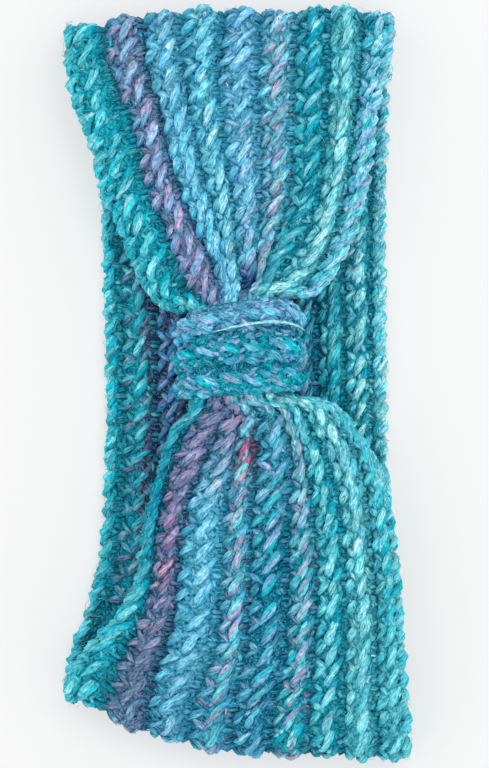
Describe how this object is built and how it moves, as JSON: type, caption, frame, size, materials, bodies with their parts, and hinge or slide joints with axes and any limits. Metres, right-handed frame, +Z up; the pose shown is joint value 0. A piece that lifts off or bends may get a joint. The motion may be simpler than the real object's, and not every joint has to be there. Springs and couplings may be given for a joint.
{
  "type": "ear warmer headband",
  "caption": "Ribbed crocheted ear warmer: a wide soft band sewn into a loop and drawn in at the front by a short wrap, lying flat.",
  "frame": {"origin": "middle of the footprint, on the surface that the headband lies on", "axes": "+Z up, +Y along the laid length and towards the picture's top, +X across the ribs and towards the picture's right"},
  "size_m": [0.114, 0.2498, 0.0328],
  "materials": {
    "band": "matt crocheted yarn that changes from teal to blue, periwinkle and mauve",
    "center_wrap": "matt crocheted yarn, periwinkle and teal"
  },
  "bodies": {
    "root": {"band": "band", "center_wrap": "center_wrap"}
  },
  "joints": []
}
